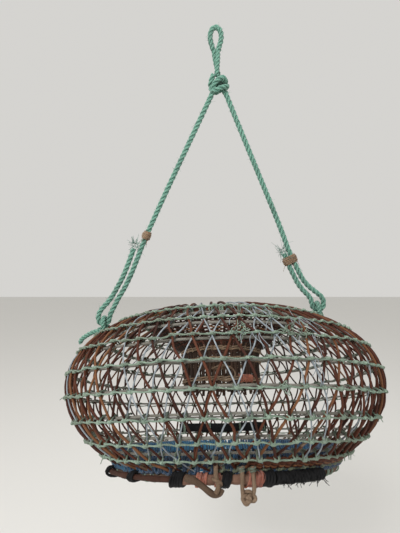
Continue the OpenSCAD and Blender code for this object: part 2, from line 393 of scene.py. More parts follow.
def twine_material(name, dark, mid, light, lay=0.0032, worn=(0.15, 0.165, 0.10)):
    """Laid twine: slanting ridges, lighter tops with painted shade in the grooves of the lay, and dirt
    patches.
    """
    m = Nodes(name)
    slant = m.add(m.math("DIVIDE", m.attribute("along"), lay), m.attribute("around"))
    wave = m.math("SINE", m.times(slant, 2 * math.pi))
    ridge = m.times(m.add(wave, 1.0), 0.5)
    fibre = m.tube_noise(900.0, 8.0, 2.0)
    dirt = m.object_noise(38.0, 4.0)
    # the ridge in the colour is painted light: lighter tops and painted shade down in the grooves of the
    # lay
    body = m.add(m.times(ridge, 0.45), m.times(fibre, 0.5))
    body = m.add(body, m.times(m.attribute("tone"), 0.16))
    colour = m.ramp(body, [(0.18, dark), (0.52, mid), (0.9, light)])
    colour = m.mix(m.mask(dirt, 0.5, 0.72, 0.75), colour, dark)
    aged = m.object_noise(7.0, 3.0)
    colour = m.mix(m.mask(aged, 0.46, 0.66, 0.6), colour, worn)
    height = m.add(ridge, m.times(fibre, 0.5))
    return m.finish(colour, 0.78, height, 0.0005, 0.9, sheen=0.25)


def rope_material(name, dark, mid, light):
    """One strand of laid polymer rope: fine slanting fibres, grime patches, a painted highlight on the
    crowns and painted shade deep in the lay.
    """
    m = Nodes(name)
    slant = m.add(m.math("DIVIDE", m.attribute("along"), 0.006), m.attribute("around"))
    fibre = m.math("SINE", m.times(slant, 2 * math.pi * 3))
    fine = m.tube_noise(1300.0, 14.0, 3.0)
    grime = m.object_noise(24.0, 5.0)
    # painted light: each strand is lighter on its outer crown and darker where it turns in to the rope's
    # core, which is painted shade deep in the lay
    crown = m.times(m.attribute("around"), 0.42)
    body = m.add(crown, m.times(fine, 0.62))
    body = m.add(body, m.times(fibre, 0.06))
    colour = m.ramp(body, [(0.2, dark), (0.5, mid), (0.85, light)])
    colour = m.mix(m.mask(grime, 0.52, 0.75, 0.6), colour, dark)
    height = m.add(m.times(fibre, 0.3), fine)
    return m.finish(colour, 0.7, height, 0.0006, 0.85, sheen=0.3)


def wood_material(name, dark, mid, light, rough=0.72):
    """Weathered wood: long grain, checks and grey patches."""
    m = Nodes(name)
    grain = m.tube_noise(60.0, 5.0, 6.0)
    patch = m.object_noise(22.0, 3.0)
    body = m.add(m.times(grain, 0.7), m.times(patch, 0.35))
    colour = m.ramp(body, [(0.3, dark), (0.52, mid), (0.75, light)])
    return m.finish(colour, m.spread(patch, rough - 0.15, rough + 0.15), grain, 0.0012, 0.9)


def rubber_material(name):
    """Strips of old inner tube: near black, dusty, with stretched creases."""
    m = Nodes(name)
    crease = m.tube_noise(420.0, 2.0, 3.0)
    dust = m.object_noise(60.0, 5.0)
    colour = m.ramp(dust, [(0.42, (0.004, 0.004, 0.0045)), (0.62, (0.011, 0.011, 0.012)),
                           (0.8, (0.045, 0.043, 0.040))])
    return m.finish(colour, m.spread(dust, 0.42, 0.8), crease, 0.0008, 0.8)


def line_material(name, colour_low, colour_high):
    """Stiff plastic line: pale, slightly shiny, lightly dirty."""
    m = Nodes(name)
    dirt = m.object_noise(70.0, 4.0)
    colour = m.ramp(dirt, [(0.3, colour_low), (0.7, colour_high)])
    return m.finish(colour, 0.42, m.tube_noise(300.0, 3.0, 2.0), 0.0003, 0.5)


BARK = bark_material(
    "withy_bark",
    [(0.0, (0.016, 0.006, 0.004)), (0.45, (0.032, 0.010, 0.006)), (0.8, (0.060, 0.020, 0.010)),
     (1.0, (0.16, 0.065, 0.025))],
    [(0.0, (0.060, 0.018, 0.010)), (0.45, (0.115, 0.032, 0.016)), (0.8, (0.155, 0.048, 0.022)),
     (1.0, (0.29, 0.145, 0.065))], 0.20)
STAKE_WOOD = bark_material(
    "split_stake",
    [(0.0, (0.012, 0.007, 0.005)), (1.0, (0.03, 0.015, 0.009))],
    [(0.0, (0.040, 0.022, 0.014)), (1.0, (0.10, 0.052, 0.030))], 0.16)
CANE = wood_material("hoop_cane", (0.075, 0.068, 0.052), (0.26, 0.245, 0.21), (0.50, 0.485, 0.44), 0.62)
MINT_TWINE = twine_material("mint_twine", (0.085, 0.140, 0.095), (0.285, 0.440, 0.315), (0.58, 0.74, 0.58))
GREY_TWINE = twine_material("grey_green_twine", (0.030, 0.052, 0.032), (0.095, 0.150, 0.098),
                            (0.24, 0.34, 0.23))
OLIVE_TWINE = twine_material("olive_twine", (0.050, 0.060, 0.030), (0.150, 0.185, 0.095),
                             (0.36, 0.41, 0.24))
TAN_TWINE = twine_material("tan_twine", (0.12, 0.065, 0.03), (0.42, 0.25, 0.13), (0.68, 0.50, 0.31),
                           0.0025, (0.20, 0.11, 0.05))
ORANGE_TWINE = twine_material("orange_twine", (0.18, 0.035, 0.015), (0.56, 0.125, 0.055),
                              (0.78, 0.33, 0.19), worn=(0.30, 0.07, 0.03))
GREEN_ROPE = rope_material("sea_green_rope", (0.012, 0.060, 0.042), (0.072, 0.265, 0.190),
                           (0.28, 0.55, 0.42))
BLUE_ROPE = rope_material("blue_rope", (0.0005, 0.006, 0.020), (0.001, 0.052, 0.145), (0.012, 0.25, 0.46))
OLD_WOOD = wood_material("old_wood", (0.022, 0.013, 0.008), (0.115, 0.072, 0.047), (0.31, 0.225, 0.16))
RED_WOOD = wood_material("red_wood", (0.014, 0.006, 0.004), (0.052, 0.021, 0.014), (0.15, 0.068, 0.045))
PALE_WITHY = wood_material("pale_withy", (0.030, 0.015, 0.008), (0.185, 0.118, 0.074),
                           (0.46, 0.35, 0.25), 0.6)
PINK_WOOD = wood_material("pink_wood", (0.05, 0.022, 0.015), (0.20, 0.105, 0.072), (0.40, 0.25, 0.18), 0.7)
RUBBER = rubber_material("inner_tube")
GREY_LINE = line_material("pale_line", (0.15, 0.175, 0.195), (0.36, 0.40, 0.43))


# ---- weave

ROWS = len(ROW_ANGLE)
PITCH = 360.0 / WITHY_COUNT
KNOT_TURN = rng.normal(0, 0.07 * PITCH, (ROWS, WITHY_COUNT))
KNOT_RISE = rng.normal(0, 0.35, (ROWS, WITHY_COUNT))
FRONT = 270.0


def knot(row, k):
    """Latitude and turn of knot k in a row."""
    k = k % WITHY_COUNT
    turn = WEAVE_TURN + PITCH * (k + 0.5 * (row % 2)) + KNOT_TURN[row, k]
    return ROW_ANGLE[row] + KNOT_RISE[row, k], turn


def from_front(turn):
    """How far a turn lies from the front of the pot, in degrees, right positive."""
    return (turn - FRONT + 180) % 360 - 180


def withy_path(start, lean, inset):
    """A withy from above the mouth to below the last row, bent through its knots."""
    marks = []
    first = knot(0, start)
    marks.append((ROW_ANGLE[0] + 4.5, first[1] - lean * 0.3 * PITCH, inset - 2.5))
    k_turn = first[1]
    for row in range(ROWS):
        k = start + lean * (row // 2) + (lean - 1) // 2 * (row % 2)
        angle, turn = knot(row, k)
        turn = k_turn + ((turn - k_turn + 180) % 360 - 180)
        k_turn = turn
        marks.append((angle, turn, inset))
        if row < ROWS - 1:
            mid = 0.5 * (ROW_ANGLE[row] + ROW_ANGLE[row + 1])
            marks.append((mid, turn + lean * 0.25 * PITCH + rng.normal(0, 0.12),
                          inset + rng.normal(0.3, 0.4)))
    reach = rng.uniform(0.15, 0.55)
    marks.append((ROW_ANGLE[-1] - 7 * reach, k_turn + lean * PITCH * reach, inset + 0.6))
    angle, turn, off = (np.array(v) for v in zip(*marks))
    return warp(on_pot(angle, turn, off))


LINE_SHARE = ((0.34, -34, 26), (0.05, -80, 60), (0.02, -181, 181))   # most at the front, from and to a turn
ODD_SHARE = 0.16     # rods of a paler shade


def weave():
    """The two slanting sets of withies, some of them renewed in plastic line."""
    bars = {("left", "bark"): Tubes(), ("right", "bark"): Tubes(), ("both", "line"): Tubes()}
    for lean, side, inset in ((1, "left", 0.0), (-1, "right", -INNER_SET)):
        for start in range(WITHY_COUNT):
            path = withy_path(start, lean, inset)
            middle = from_front(knot(5, start + lean * 2)[1])
            chance = next(share for share, low, high in LINE_SHARE if low < middle < high)
            if rng.random() < chance:
                path = smooth(path, 4)
                bars["both", "line"].add(path, 0.95 + 0.15 * rng.random(), 6)
                continue
            path = smooth(path, 5)
            n = len(path)
            bend = rng.normal(0, 0.10, (n, 3))
            bend = (bend + np.roll(bend, 1, 0) + np.roll(bend, -1, 0)) / 1.7
            taper = np.linspace(*rng.permutation([1.95, 1.45]), n)
            swell = 1 + 0.05 * rng.standard_normal(n)
            tone = 0.75 + 0.25 * rng.random() if rng.random() < ODD_SHARE else 0.72 * rng.random()
            bars[side, "bark"].add(path + bend, taper * swell, 7, tone=tone)
    bars["left", "bark"].mesh("withies_left_set", BARK, "pot",
                              ["withies_%d" % i for i in range(1, ROWS)])
    bars["right", "bark"].mesh("withies_right_set", BARK, "pot")
    bars["both", "line"].mesh("plastic_line_runs", GREY_LINE, "pot")


HOOP_SWEEP, HOOP_STEPS = 376, 260     # a full turn and the lap past it
LAP_START, LAP_FADE, LAP_DEPTH = 350, 18, 4.6


def hoops():
    """A cane hoop behind each row, its ends lapped."""
    for row in range(1, ROWS - 1):
        bars = Tubes()
        start = rng.uniform(60, 120)
        turn = np.linspace(start, start + HOOP_SWEEP, HOOP_STEPS)
        wave = np.interp(turn, np.linspace(start, start + HOOP_SWEEP, 40), rng.normal(0, 0.35, 40))
        lap = np.clip((turn - start - LAP_START) / LAP_FADE, 0, 1)
        off = -(INNER_SET + WITHY_R + HOOP_R + 0.3) - LAP_DEPTH * lap + wave
        angle = ROW_ANGLE[row] + np.interp(turn, np.linspace(start, start + HOOP_SWEEP, 30),
                                           rng.normal(0.35, 0.18, 30))
        size = 2.35 + 0.15 * rng.standard_normal(HOOP_STEPS).cumsum() / 16
        bars.add(warp(on_pot(angle, turn, off)), size, 8, flat=0.8)
        bars.mesh("cane_hoop_%d" % row, CANE, "pot", ["hoop_%d" % row])


def hitch(bars, uprights, row, k):
    """The hitch of twine round a crossing and its hoop: crossed turns, a lump and a darker upright turn."""
    angle, turn = knot(row, k)
    tone = rng.random()
    drop = math.degrees(1.0 / POT_R)
    across = math.degrees(1.0 / max(curve(angle)[0], 1.0))
    lean = rng.choice([-1, 1], p=[0.25, 0.75])
    size = rng.uniform(0.8, 1.08)

    def at(u, v, off):
        return warp(on_pot(angle + v * drop, turn + u * across, off))

    def turned(group, points, thick, shade):
        path = np.array([at(size * u * lean + rng.normal(0, 0.3), size * v + rng.normal(0, 0.3), off)
                         for u, v, off in points])
        group.add(smooth(path, 3), thick * rng.uniform(0.92, 1.12), 6, tone=shade)

    turned(bars, [(-5.0, -1.4, 0.8), (-2.6, -2.0, 2.6), (0, 0, 3.6), (2.6, 2.4, 2.4),
                  (3.6, 4.6, -1.5)], TWINE_R * 0.95, tone)
    turned(bars, [(3.4, -2.0, 0.6), (1.6, -2.2, 2.8), (0.2, -0.2, 4.0),
                  (-1.4, 2.6, 2.4), (-2.4, 4.6, -1.5)], TWINE_R * 0.85, tone)
    turned(uprights, [(4.2, -2.6, 0.8), (4.4, 0.6, 2.2), (4.2, 4.4, 0.8),
                      (3.8, 6.6, -4.0), (3.4, 6.4, -8.5), (2.6, 3.0, -11.0)],
           TWINE_R * 0.9, rng.random())
    turned(uprights, [(-1.6, 3.6, 0.2), (-1.8, 6.0, -3.5), (-1.4, 6.2, -8.0),
                      (0, 3.0, -11.2)], TWINE_R * 0.8, rng.random())
    bars.lump(at(0, -0.3, 2.6), np.array([3.1, 3.1, 2.4]) * size, 0.5 + 0.5 * tone)


def loose_end(bars, row, k):
    """A cut twine end and frayed hairs standing off a knot."""
    angle, turn = knot(row, k)
    start = warp(on_pot(angle, turn, 3.2))
    out = start / np.linalg.norm(start)
    reach = rng.uniform(3, 7)
    way = out * rng.uniform(0.0, 0.3) + rng.normal(0, 0.6, 3)
    way /= np.linalg.norm(way)
    path = [start + way * reach * t - UP * reach * 0.6 * t * t for t in np.linspace(0, 1, 6)]
    bars.add(path, np.linspace(0.85, 0.6, 6), 5)
    for _ in range(rng.integers(1, 4)):
        reach = rng.uniform(2, 5)
        way = out * 0.3 + rng.normal(0, 0.7, 3)
        path = [start + way * reach * t + rng.normal(0, 0.25, 3) for t in np.linspace(0, 1, 5)]
        bars.add(path, np.linspace(0.28, 0.15, 5), 4)


def binding_rows():
    """Twine run from hitch to hitch; the last row dips behind the blue turns on the left."""
    uprights = Tubes()
    for row in range(1, ROWS):
        bars = Tubes()
        last = row == ROWS - 1

        def hidden(turn):
            side = from_front(turn)
            return float(np.clip((-side - 3) / 8, 0, 1) * np.clip((side + 100) / 10, 0, 1)) if last else 0.0

        for strand in range(2):
            points = []
            for k in range(WITHY_COUNT):
                angle, turn = knot(row, k)
                after = knot(row, k + 1)
                gap = (after[1] - turn) % 360
                sag = rng.uniform(0.2, 0.5) + 0.7 * last
                back = -5.5 * hidden(turn)
                points.append((angle - 0.15, turn, 3.0 + back))
                points.append((angle + 0.3 - 0.12 * sag, turn + 0.2 * gap, 2.4 + back))
                points.append((angle - sag * 0.5, turn + 0.5 * gap, 1.5 + back))
                points.append((0.5 * (angle + after[0]) - 0.2 - 0.3 * sag, turn + 0.8 * gap, 2.1 + back))
            angle, turn, off = (np.array(v) for v in zip(*points))
            twist = np.arange(len(turn)) * 1.9 + strand * np.pi
            path = on_pot(angle + 0.13 * np.sin(twist), np.unwrap(turn, period=360),
                          off + 0.5 * np.cos(twist))
            bars.add(smooth(warp(path), 3, closed=True), TWINE_R * 0.74, 6, closed=True)
        for k in range(WITHY_COUNT):
            if hidden(knot(row, k)[1]) > 0.4:
                continue
            hitch(bars, uprights, row, k)
            if rng.random() < 0.13:
                loose_end(bars, row, k)
        bars.mesh("binding_row_%d" % row, OLIVE_TWINE if last else MINT_TWINE, "pot",
                  ["twine_row_%d" % row])
    uprights.mesh("hoop_hitches", GREY_TWINE, "pot")


# ---- mouth and funnel

def ring_path(radius, z, steps, start=0.0, sweep=360.0, wave=0.0):
    """Points of a ring about the pot's axis, with a slow wander."""
    t = np.radians(start + np.linspace(0, sweep, steps, endpoint=sweep < 360))
    r = radius + wave * np.sin(3 * t + 0.4) + 0.5 * wave * np.sin(7 * t)
    return np.stack([r * np.cos(t), r * np.sin(t), z + 0.6 * wave * np.sin(4 * t + 1)], -1)


RIM_RODS, RIM_STEPS = 6, 240
RIM_BUNDLE_R, RIM_BINDING_R = 3.0, 6.1


def mouth_rim():
    """The bundle of rods that edges the mouth, bound with twine, and its mint whipping turns."""
    centre = curve(ROW_ANGLE[0], -(INNER_SET + WITHY_R + 5.3))
    rods, twine = Tubes(), Tubes()
    for i in range(RIM_RODS):
        a = 2 * np.pi * i / RIM_RODS
        path = ring_path(centre[0], centre[1], RIM_STEPS)
        t = full_circle(RIM_STEPS)
        spin = a + 5 * t
        out = np.stack([np.cos(t), np.sin(t), 0 * t], -1)
        path = path + RIM_BUNDLE_R * (np.cos(spin)[:, None] * out + np.sin(spin)[:, None] * UP)
        rods.add(warp(path), 1.9 + 0.15 * np.sin(9 * t + i), 7, closed=True)
    for turn in np.arange(0, 360, PITCH):
        for wrap in range(rng.integers(2, 4)):
            out, side = ring_frame(turn + 1.1 * wrap + rng.normal(0, 0.3))
            a = full_circle(10)
            path = (oval(centre[0] * out + centre[1] * UP, out, UP, RIM_BINDING_R, RIM_BINDING_R, a)
                    + 1.2 * np.outer(np.sin(a / 2), side))
            twine.add(warp(path), 1.15, 5, closed=True)
    rods.mesh("mouth_rim_rods", BARK, "pot", ["mouth_rim"])
    twine.mesh("mouth_rim_binding", MINT_TWINE, "pot")


def stake_line(k):
    """A stake's run from under the rim, over the flare and down the throat."""
    turn = math.radians(360 * k / STAKE_COUNT + rng.normal(0, 0.6))
    marks = [(136, 113.5), (128, 108), (110, 94), (88, 78), (74, 67), (THROAT_R, 56),
             (THROAT_R - 1, 38), (THROAT_R - 0.5, 18), (THROAT_R, 2),
             (THROAT_R + 1, -10 - rng.uniform(0, 4))]
    path = smooth([(r * math.cos(turn), r * math.sin(turn), z) for r, z in marks], 3)
    return path + rng.normal(0, 0.12, path.shape), turn


FUNNEL_ROW_Z = (61.0, 43.0, 10.0)
FLARE_ROWS = ((81.0, 73.5), (87.0, 78.0), (93.0, 82.5), (100.0, 87.0), (106.0, 91.5), (112.0, 96.0),
              (118.0, 100.0), (125.0, 105.0), (131.0, 109.5))


def funnel():
    """Split stakes, pale twined rows that weave between them and an orange repair."""
    stakes = Tubes()
    for k in range(STAKE_COUNT):
        path, turn = stake_line(k)
        out = [math.cos(turn), math.sin(turn), 0.3]
        stakes.add(path, np.linspace(3.6, 3.0, len(path)), 8, flat=0.62, up=np.cross(out, UP))
        turn2 = turn + math.radians(rng.uniform(4.5, 7.5))
        swing = np.array([[math.cos(turn2 - turn), math.sin(turn2 - turn), 0],
                          [-math.sin(turn2 - turn), math.cos(turn2 - turn), 0], [0, 0, 1.0]])
        thin = path @ swing
        stakes.add(thin[:rng.integers(20, len(thin))] + [0, 0, 0.8], 1.9, 7)
    stakes.mesh("funnel_stakes_split", STAKE_WOOD, "pot", ["funnel_stakes"])
    for row, z in enumerate(FUNNEL_ROW_Z, 1):
        bars = Tubes()
        for level in (-2.0, 1.6):
            for strand in (0, 1):
                steps = STAKE_COUNT * 10
                t = full_circle(steps)
                wave = np.cos(t * STAKE_COUNT / 2 + strand * np.pi)
                r = THROAT_R + 3.6 * wave + (2.0 if row == 1 else 0)
                h = z + level + 0.9 * np.sin(t * STAKE_COUNT / 2 + strand * np.pi)
                bars.add(np.stack([r * np.cos(t), r * np.sin(t), h], -1), 1.25, 6, closed=True)
        bars.mesh("funnel_twining_%d" % row, TAN_TWINE, "pot", ["funnel_row_%d" % row])
    flare = Tubes()
    for r, z in FLARE_ROWS:
        for strand in (0, 1):
            t = full_circle(STAKE_COUNT * 8)
            wave = np.cos(t * STAKE_COUNT / 2 + strand * np.pi)
            rr, h = r - 2.2 * wave, z + 3.0 * wave
            flare.add(np.stack([rr * np.cos(t), rr * np.sin(t), h], -1), 1.3, 6, closed=True)
    flare.mesh("funnel_flare_weavers", BARK, "pot")
    patch = Tubes()
    for i in range(9):
        out = ring_frame(292 + 2.6 * i + rng.normal(0, 0.3))[0]
        path = oval(THROAT_R * out + 10 * UP, out, UP, 5.0, 6.0, full_circle(12))
        patch.add(path + rng.normal(0, 0.2, path.shape), 1.2, 5, closed=True)
    patch.mesh("funnel_orange_seizing", ORANGE_TWINE, "pot")


# ---- bridle

EYE_ROUTE = [(-4.8, -33), (-6, -27), (-8, -21), (-9.3, -14), (-9.4, -8), (-7.6, -1), (-4.2, 3.3),
             (0, 4.8), (4.2, 3.3), (7.6, -1), (9.4, -8), (9.3, -14), (8, -21), (6, -27), (4.8, -33)]
LEG_LEFT = [(-5, -104), (-26, -148), (-50, -198), (-74, -248), (-98, -299), (-120, -347),
            (-130, -371), (-138, -391), (-146, -411), (-154.5, -430), (-163.5, -447), (-172.5, -462),
            (-180.5, -477.5), (-186.5, -489), (-189, -497.5), (-191, -504), (-198, -509),
            (-206, -506), (-208.8, -498.5), (-207.5, -490), (-203.5, -482.5), (-197, -475),
            (-189.5, -466.5), (-181.5, -455), (-173.5, -441), (-165, -425.5), (-157, -407),
            (-150, -389), (-144.5, -374)]
LEG_RIGHT = [(17, -104), (36, -150), (58, -202), (80, -254), (102, -306), (119, -348),
             (128.5, -373), (136.5, -391), (146, -410), (155, -427), (166, -440), (177, -449),
             (187, -457), (192, -463.5), (193.2, -471.5), (192, -478), (188, -481.5), (183, -482),
             (178, -481), (174, -477), (172.2, -470.5), (170, -463), (165, -456), (156, -447),
             (147, -435), (138.8, -420), (129.8, -401.5), (121.8, -383)]
HITCH_LEFT = (-198.0, -508.5)
HITCH_RIGHT = (183.0, -481.5)
HITCH_RING_R = 11.4
WHIPPINGS = (("left", (-121.5, -350.6), 23.5, 0.0), ("right", (132.2, -393.6), -24.3, 5.4))


def resample(path, step):
    """Evenly spaced points on a line."""
    path = np.asarray(path, float)
    run = np.concatenate([[0], np.cumsum(np.linalg.norm(np.diff(path, axis=0), axis=1))])
    at = np.linspace(0, run[-1], max(3, int(run[-1] / step) + 1))
    return np.stack([np.interp(at, run, path[:, i]) for i in range(path.shape[1])], -1)


def laid_rope(bars, path, radius=ROPE_R, lay=27.0, phase=0.0, sides=9):
    """Three strands laid round a line."""
    t = np.gradient(path, axis=0)
    t /= np.linalg.norm(t, axis=1, keepdims=True)
    up = np.zeros_like(t)
    first = np.cross(t[0], [0.0, 1.0, 0.02])
    up[0] = first / np.linalg.norm(first)
    for i in range(1, len(t)):
        v = up[i - 1] - (up[i - 1] @ t[i]) * t[i]
        up[i] = v / np.linalg.norm(v)
    side = np.cross(t, up)
    run = np.concatenate([[0], np.cumsum(np.linalg.norm(np.diff(path, axis=0), axis=1))])
    for strand in range(3):
        a = phase + 2 * np.pi * (strand / 3 + run / lay)
        line = path + radius * 0.52 * (np.cos(a)[:, None] * up + np.sin(a)[:, None] * side)
        bars.add(line, radius * 0.50, sides, tone=rng.random(), up=np.cos(a)[:, None] * up
                 + np.sin(a)[:, None] * side)


def rope_points(route, step=2.4):
    """A route of the bridle's upright plane as points in space."""
    path = smooth([(x, 0.0, z) for x, z in route], 6)
    return resample(path, step)


def hairs(bars, path, count, low, high, spread=1.0, thick=0.16):
    """Broken fibres that stand off a rope."""
    for _ in range(count):
        i = rng.integers(1, len(path) - 1)
        along = path[i + 1] - path[i - 1]
        along /= np.linalg.norm(along)
        way = rng.normal(0, 1, 3)
        way -= (way @ along) * along
        way /= np.linalg.norm(way)
        start = path[i] + way * ROPE_R * 0.75
        reach = rng.uniform(low, high)
        way = way * 0.6 * spread + along * rng.normal(0, 0.8)
        bend = rng.normal(0, 0.35, 3)
        line = [start + way * reach * t + bend * reach * t * t for t in np.linspace(0, 1, 5)]
        bars.add(line, np.linspace(thick, thick * 0.6, 5), 4)


def whipping_turns(name, centre, lean, half):
    """Tan twine turns round one strand or two, with frayed tails."""
    bars = Tubes()
    a = math.radians(lean)
    along = np.array([math.sin(a), 0, math.cos(a)])
    side = np.array([math.cos(a), 0, -math.sin(a)])
    centre = np.array([centre[0], 0, centre[1]])
    for layer, (turns, radius) in enumerate(((7, ROPE_R + 1.2), (4, ROPE_R + 2.5))):
        steps = turns * 16
        t = np.linspace(0, turns * 2 * np.pi, steps)
        h = np.linspace(-7.2 + 2.4 * layer, 7.2 - 3.2 * layer, steps)
        across = radius * np.cos(t) + half * np.tanh(3 * np.cos(t))
        path = (centre + h[:, None] * along + across[:, None] * side
                + radius * np.sin(t)[:, None] * BACK)
        bars.add(path + rng.normal(0, 0.15, path.shape), 1.05, 6)
    for _ in range(16):
        way = rng.normal(0, 1, 3) + along * -0.8
        start = centre + along * rng.uniform(-7, 4) + side * rng.normal(0, 3 + half / 2)
        reach = rng.uniform(5, 15)
        line = [start + way * reach * 0.5 * t + [0, 0, -reach * 0.5 * t * t] for t in np.linspace(0, 1, 6)]
        bars.add(line, np.linspace(0.55, 0.25, 6), 4)
    return bars.mesh(name, TAN_TWINE, "bridle", [name.replace("_turns", "")], placed=False)


def crown_knot():
    """An overhand knot in the doubled rope."""
    bars = Tubes()
    turns = [(-3.5, -6, -76), (-7, -7, -84), (-9, -2, -92), (-5, 8, -100), (5, 9.5, -99), (13, 6, -92),
             (17, -3, -86), (11, -10.5, -83), (2, -12, -88), (-4, -9, -96), (-5, -2, -106)]
    second = [(6, 4, -76), (12, 9, -82), (3, 12, -88), (-5, 8.5, -91), (-7, 0.5, -99), (0, -9, -103),
              (10, -9.5, -99), (19, -3, -95), (19, 5, -93), (15, 3, -100), (16, 0, -106)]
    for phase, route in ((0.3, turns), (1.7, second)):
        laid_rope(bars, resample(smooth(route, 8), 2.0), ROPE_R * 0.96, 24, phase)
    bars.lump((6, 0, -92), (7.5, 6.5, 8), 0.3)
    bars.mesh("crown_knot_rope", GREEN_ROPE, "bridle", ["crown_knot"], placed=False)


def bridle():
    """The rope eye, its stem, the crown knot and two legs whose ends turn back through the hitches."""
    eye, stem, fuzz = Tubes(), Tubes(), Tubes()
    eye_path = rope_points(EYE_ROUTE, 2.0)
    laid_rope(eye, eye_path, ROPE_R, 22, 0.5)
    eye_piece = eye.mesh("rope_eye_laid", GREEN_ROPE, "bridle", ["rope_eye"], placed=False)
    for x, phase in ((-3.4, 0.2), (3.4, 1.3)):
        path = [(x * math.cos(0.05 * -h), x * math.sin(0.05 * -h), -32.0 - h) + np.array([h / 12, 0, 0])
                for h in np.linspace(0, 46, 26)]
        laid_rope(stem, np.array(path), 4.3, 20, phase, 8)
    stem.mesh("rope_stem_splice", GREEN_ROPE, "bridle", ["rope_stem"], placed=False)
    crown_knot()
    whips = {side: whipping_turns("whipping_%s_turns" % side, *where) for side, *where in WHIPPINGS}
    hairs(fuzz, eye_path, 40, 2, 6)
    for side, route in (("left", LEG_LEFT), ("right", LEG_RIGHT)):
        leg = Tubes()
        path = rope_points(route)
        laid_rope(leg, path)
        piece = leg.mesh("rope_leg_%s_laid" % side, GREEN_ROPE, "bridle",
                         ["rope_leg_" + side], placed=False)
        hairs(fuzz, path, 260, 2, 7)
        end = np.tile(path[-1], (4, 1)) + np.linspace(0, 3, 4)[:, None] * (path[-1] - path[-3])
        hairs(fuzz, end, 60, 5, 14, 1.4, 0.3)
    fuzz.mesh("rope_broken_fibres", GREEN_ROPE, "bridle", placed=False)


def shoulder_hitches():
    """A rope ring on each shoulder round the rocking line, and the turns that bind it to the weave."""
    line = np.array([HITCH_RIGHT[0] - HITCH_LEFT[0], 0, HITCH_RIGHT[1] - HITCH_LEFT[1]])
    line /= np.linalg.norm(line)
    up = np.cross(line, [0, 1.0, 0])
    bars, turns = Tubes(), Tubes()
    for i, (x, z) in enumerate((HITCH_LEFT, HITCH_RIGHT)):
        centre = np.array([x, 0, z])
        t = np.linspace(0, 2 * np.pi, 45)
        ring = oval(centre, up, BACK, HITCH_RING_R, HITCH_RING_R, t)
        laid_rope(bars, ring, 4.2, 18, 0.4)
        for shift in (-7.0, 1.0, 8.0):
            a = np.linspace(0, 2 * np.pi, 30)
            middle = centre - 14.5 * abs(up[2]) * UP + np.array([shift * 0.7, shift, 0])
            loop = oval(middle, up, line, 8.5, 6.0, a) + 1.5 * np.outer(np.sin(a + i), BACK)
            laid_rope(turns, loop, 2.6, 14, shift)
    for points in ([(-192, -6, -521), (-203, -8, -519.5), (-215, -7, -521), (-227, -5, -527),
                    (-238, -2, -535), (-243, 3, -543)],
                   [(186, -9, -494), (190, -4, -496), (194, 3, -499), (197, 10, -503)]):
        laid_rope(turns, resample(smooth(points, 6), 2.0), 4.3, 20, 0.9)
    bars.mesh("shoulder_hitch_rings", GREEN_ROPE, "pot", ["shoulder_hitches"], placed=False)
    turns.mesh("shoulder_hitch_turns", GREEN_ROPE, "pot", placed=False)


# ---- base

SILL_R, SILL_Z = 181.0, -106.0
HATCH_R, HATCH_Z, HATCH_TUBE = 180.0, -127.0, 7.0
BAR_RING = 195.0
LASH_RING, SEIZING_RING = 188.5, 189.5     # turns that take in a bar and the hoop together


def wraps(bars, radius, z, start, end, spacing, inner, thick, uneven=0.4, tall=None, tilt=0.0):
    """Turns of line round a ring, one after another from start to end."""
    turn = start
    tall = inner if tall is None else tall
    while turn < end:
        out, side = ring_frame(turn + rng.normal(0, 0.1))
        a = full_circle(16)
        r, h = inner + rng.normal(0, uneven), tall + rng.normal(0, uneven)
        lean = tilt + rng.normal(0, 0.8)
        path = (oval(radius * out + z * UP, out, UP, r, h, a)
                + lean * np.outer(np.sin(a + 0.5), side))
        bars.add(path, thick * rng.uniform(0.85, 1.12), 7, closed=True)
        turn += math.degrees(spacing / radius) * rng.uniform(0.85, 1.15)


def sill():
    """The sill hoop with its close blue rope turns, and dropped turns that hang as loops."""
    hoop, blue, loops = Tubes(), Tubes(), Tubes()
    hoop.add(ring_path(SILL_R - 1.5, SILL_Z, 240, wave=0.25), 4.4, 10, closed=True)
    hoop.mesh("sill_hoop_rod", OLD_WOOD, "pot", ["sill_hoop"])
    wraps(blue, SILL_R - 0.3, SILL_Z, 0, 360, 5.4, 5.9, 2.25, 0.5, 8.3, 1.6)
    blue.mesh("sill_blue_turns", BLUE_ROPE, "pot", ["sill_lacing"])
    turn = 0.0
    while turn < 360:
        out, side = ring_frame(turn)
        low = from_front(turn) > -4 or from_front(turn) < -96
        drop = rng.uniform(8.5, 10.5) - 3.0 * low
        middle = SILL_Z - (11.0 if low else 6.5)
        a = full_circle(16)
        pear = (1 - 0.5 * np.sin(a)) * rng.uniform(2.4, 3.6)
        path = ((SILL_R + 8.0 + rng.normal(0, 0.5)) * out + middle * UP
                + np.outer(1.6 * np.cos(2 * a), out) + np.outer(drop * np.sin(a), UP)
                + np.outer((pear + 0.8) * np.cos(a) + 1.4 * np.sin(a), side))
        loops.add(path, 1.9 * rng.uniform(0.9, 1.15), 7, closed=True)
        inner = path - (3.4 + rng.random()) * out + rng.normal(0, 1.2) * side - [0, 0, 1.5]
        loops.add(inner, 1.8, 6, closed=True)
        turn += math.degrees(8.0 / SILL_R) * rng.uniform(0.8, 1.3)
    loops.mesh("sill_blue_loops", BLUE_ROPE, "pot")


def net_line(bars, start, end, other, lift):
    """One net line that dips over and under the lines it crosses."""
    t = np.linspace(0, 1, 90)
    path = start + (end - start) * t[:, None]
    path = path + UP * (lift * np.cos(t * np.pi * other))[:, None]
    bars.add(path + rng.normal(0, 0.08, path.shape), 1.75, 7)


